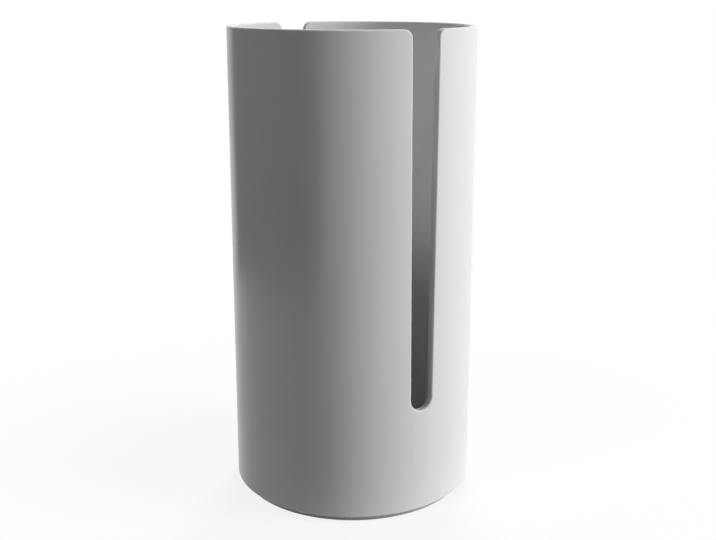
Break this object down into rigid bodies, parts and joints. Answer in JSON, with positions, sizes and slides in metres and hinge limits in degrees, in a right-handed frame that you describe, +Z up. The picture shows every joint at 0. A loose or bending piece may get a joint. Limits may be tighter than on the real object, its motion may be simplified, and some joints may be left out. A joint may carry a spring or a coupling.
{
  "type": "toilet roll holder",
  "caption": "Free-standing round container for a stack of spare toilet rolls, open at the top, with opposed slots down its sides and an inset anti-slip foot.",
  "frame": {"origin": "on the tube's axis, at the surface that the foot ring stands on", "axes": "+Z up along the tube's axis; the slots face -Y and +Y"},
  "size_m": [0.15, 0.15, 0.288],
  "materials": {
    "tube_plastic": "satin moulded, pale grey",
    "base_plastic": "satin moulded, pale grey",
    "foot_elastomer": "matt moulded, mid-grey"
  },
  "bodies": {
    "root": {"slotted_tube": "tube_plastic", "base_plate": "base_plastic", "foot_ring": "foot_elastomer"}
  },
  "joints": []
}
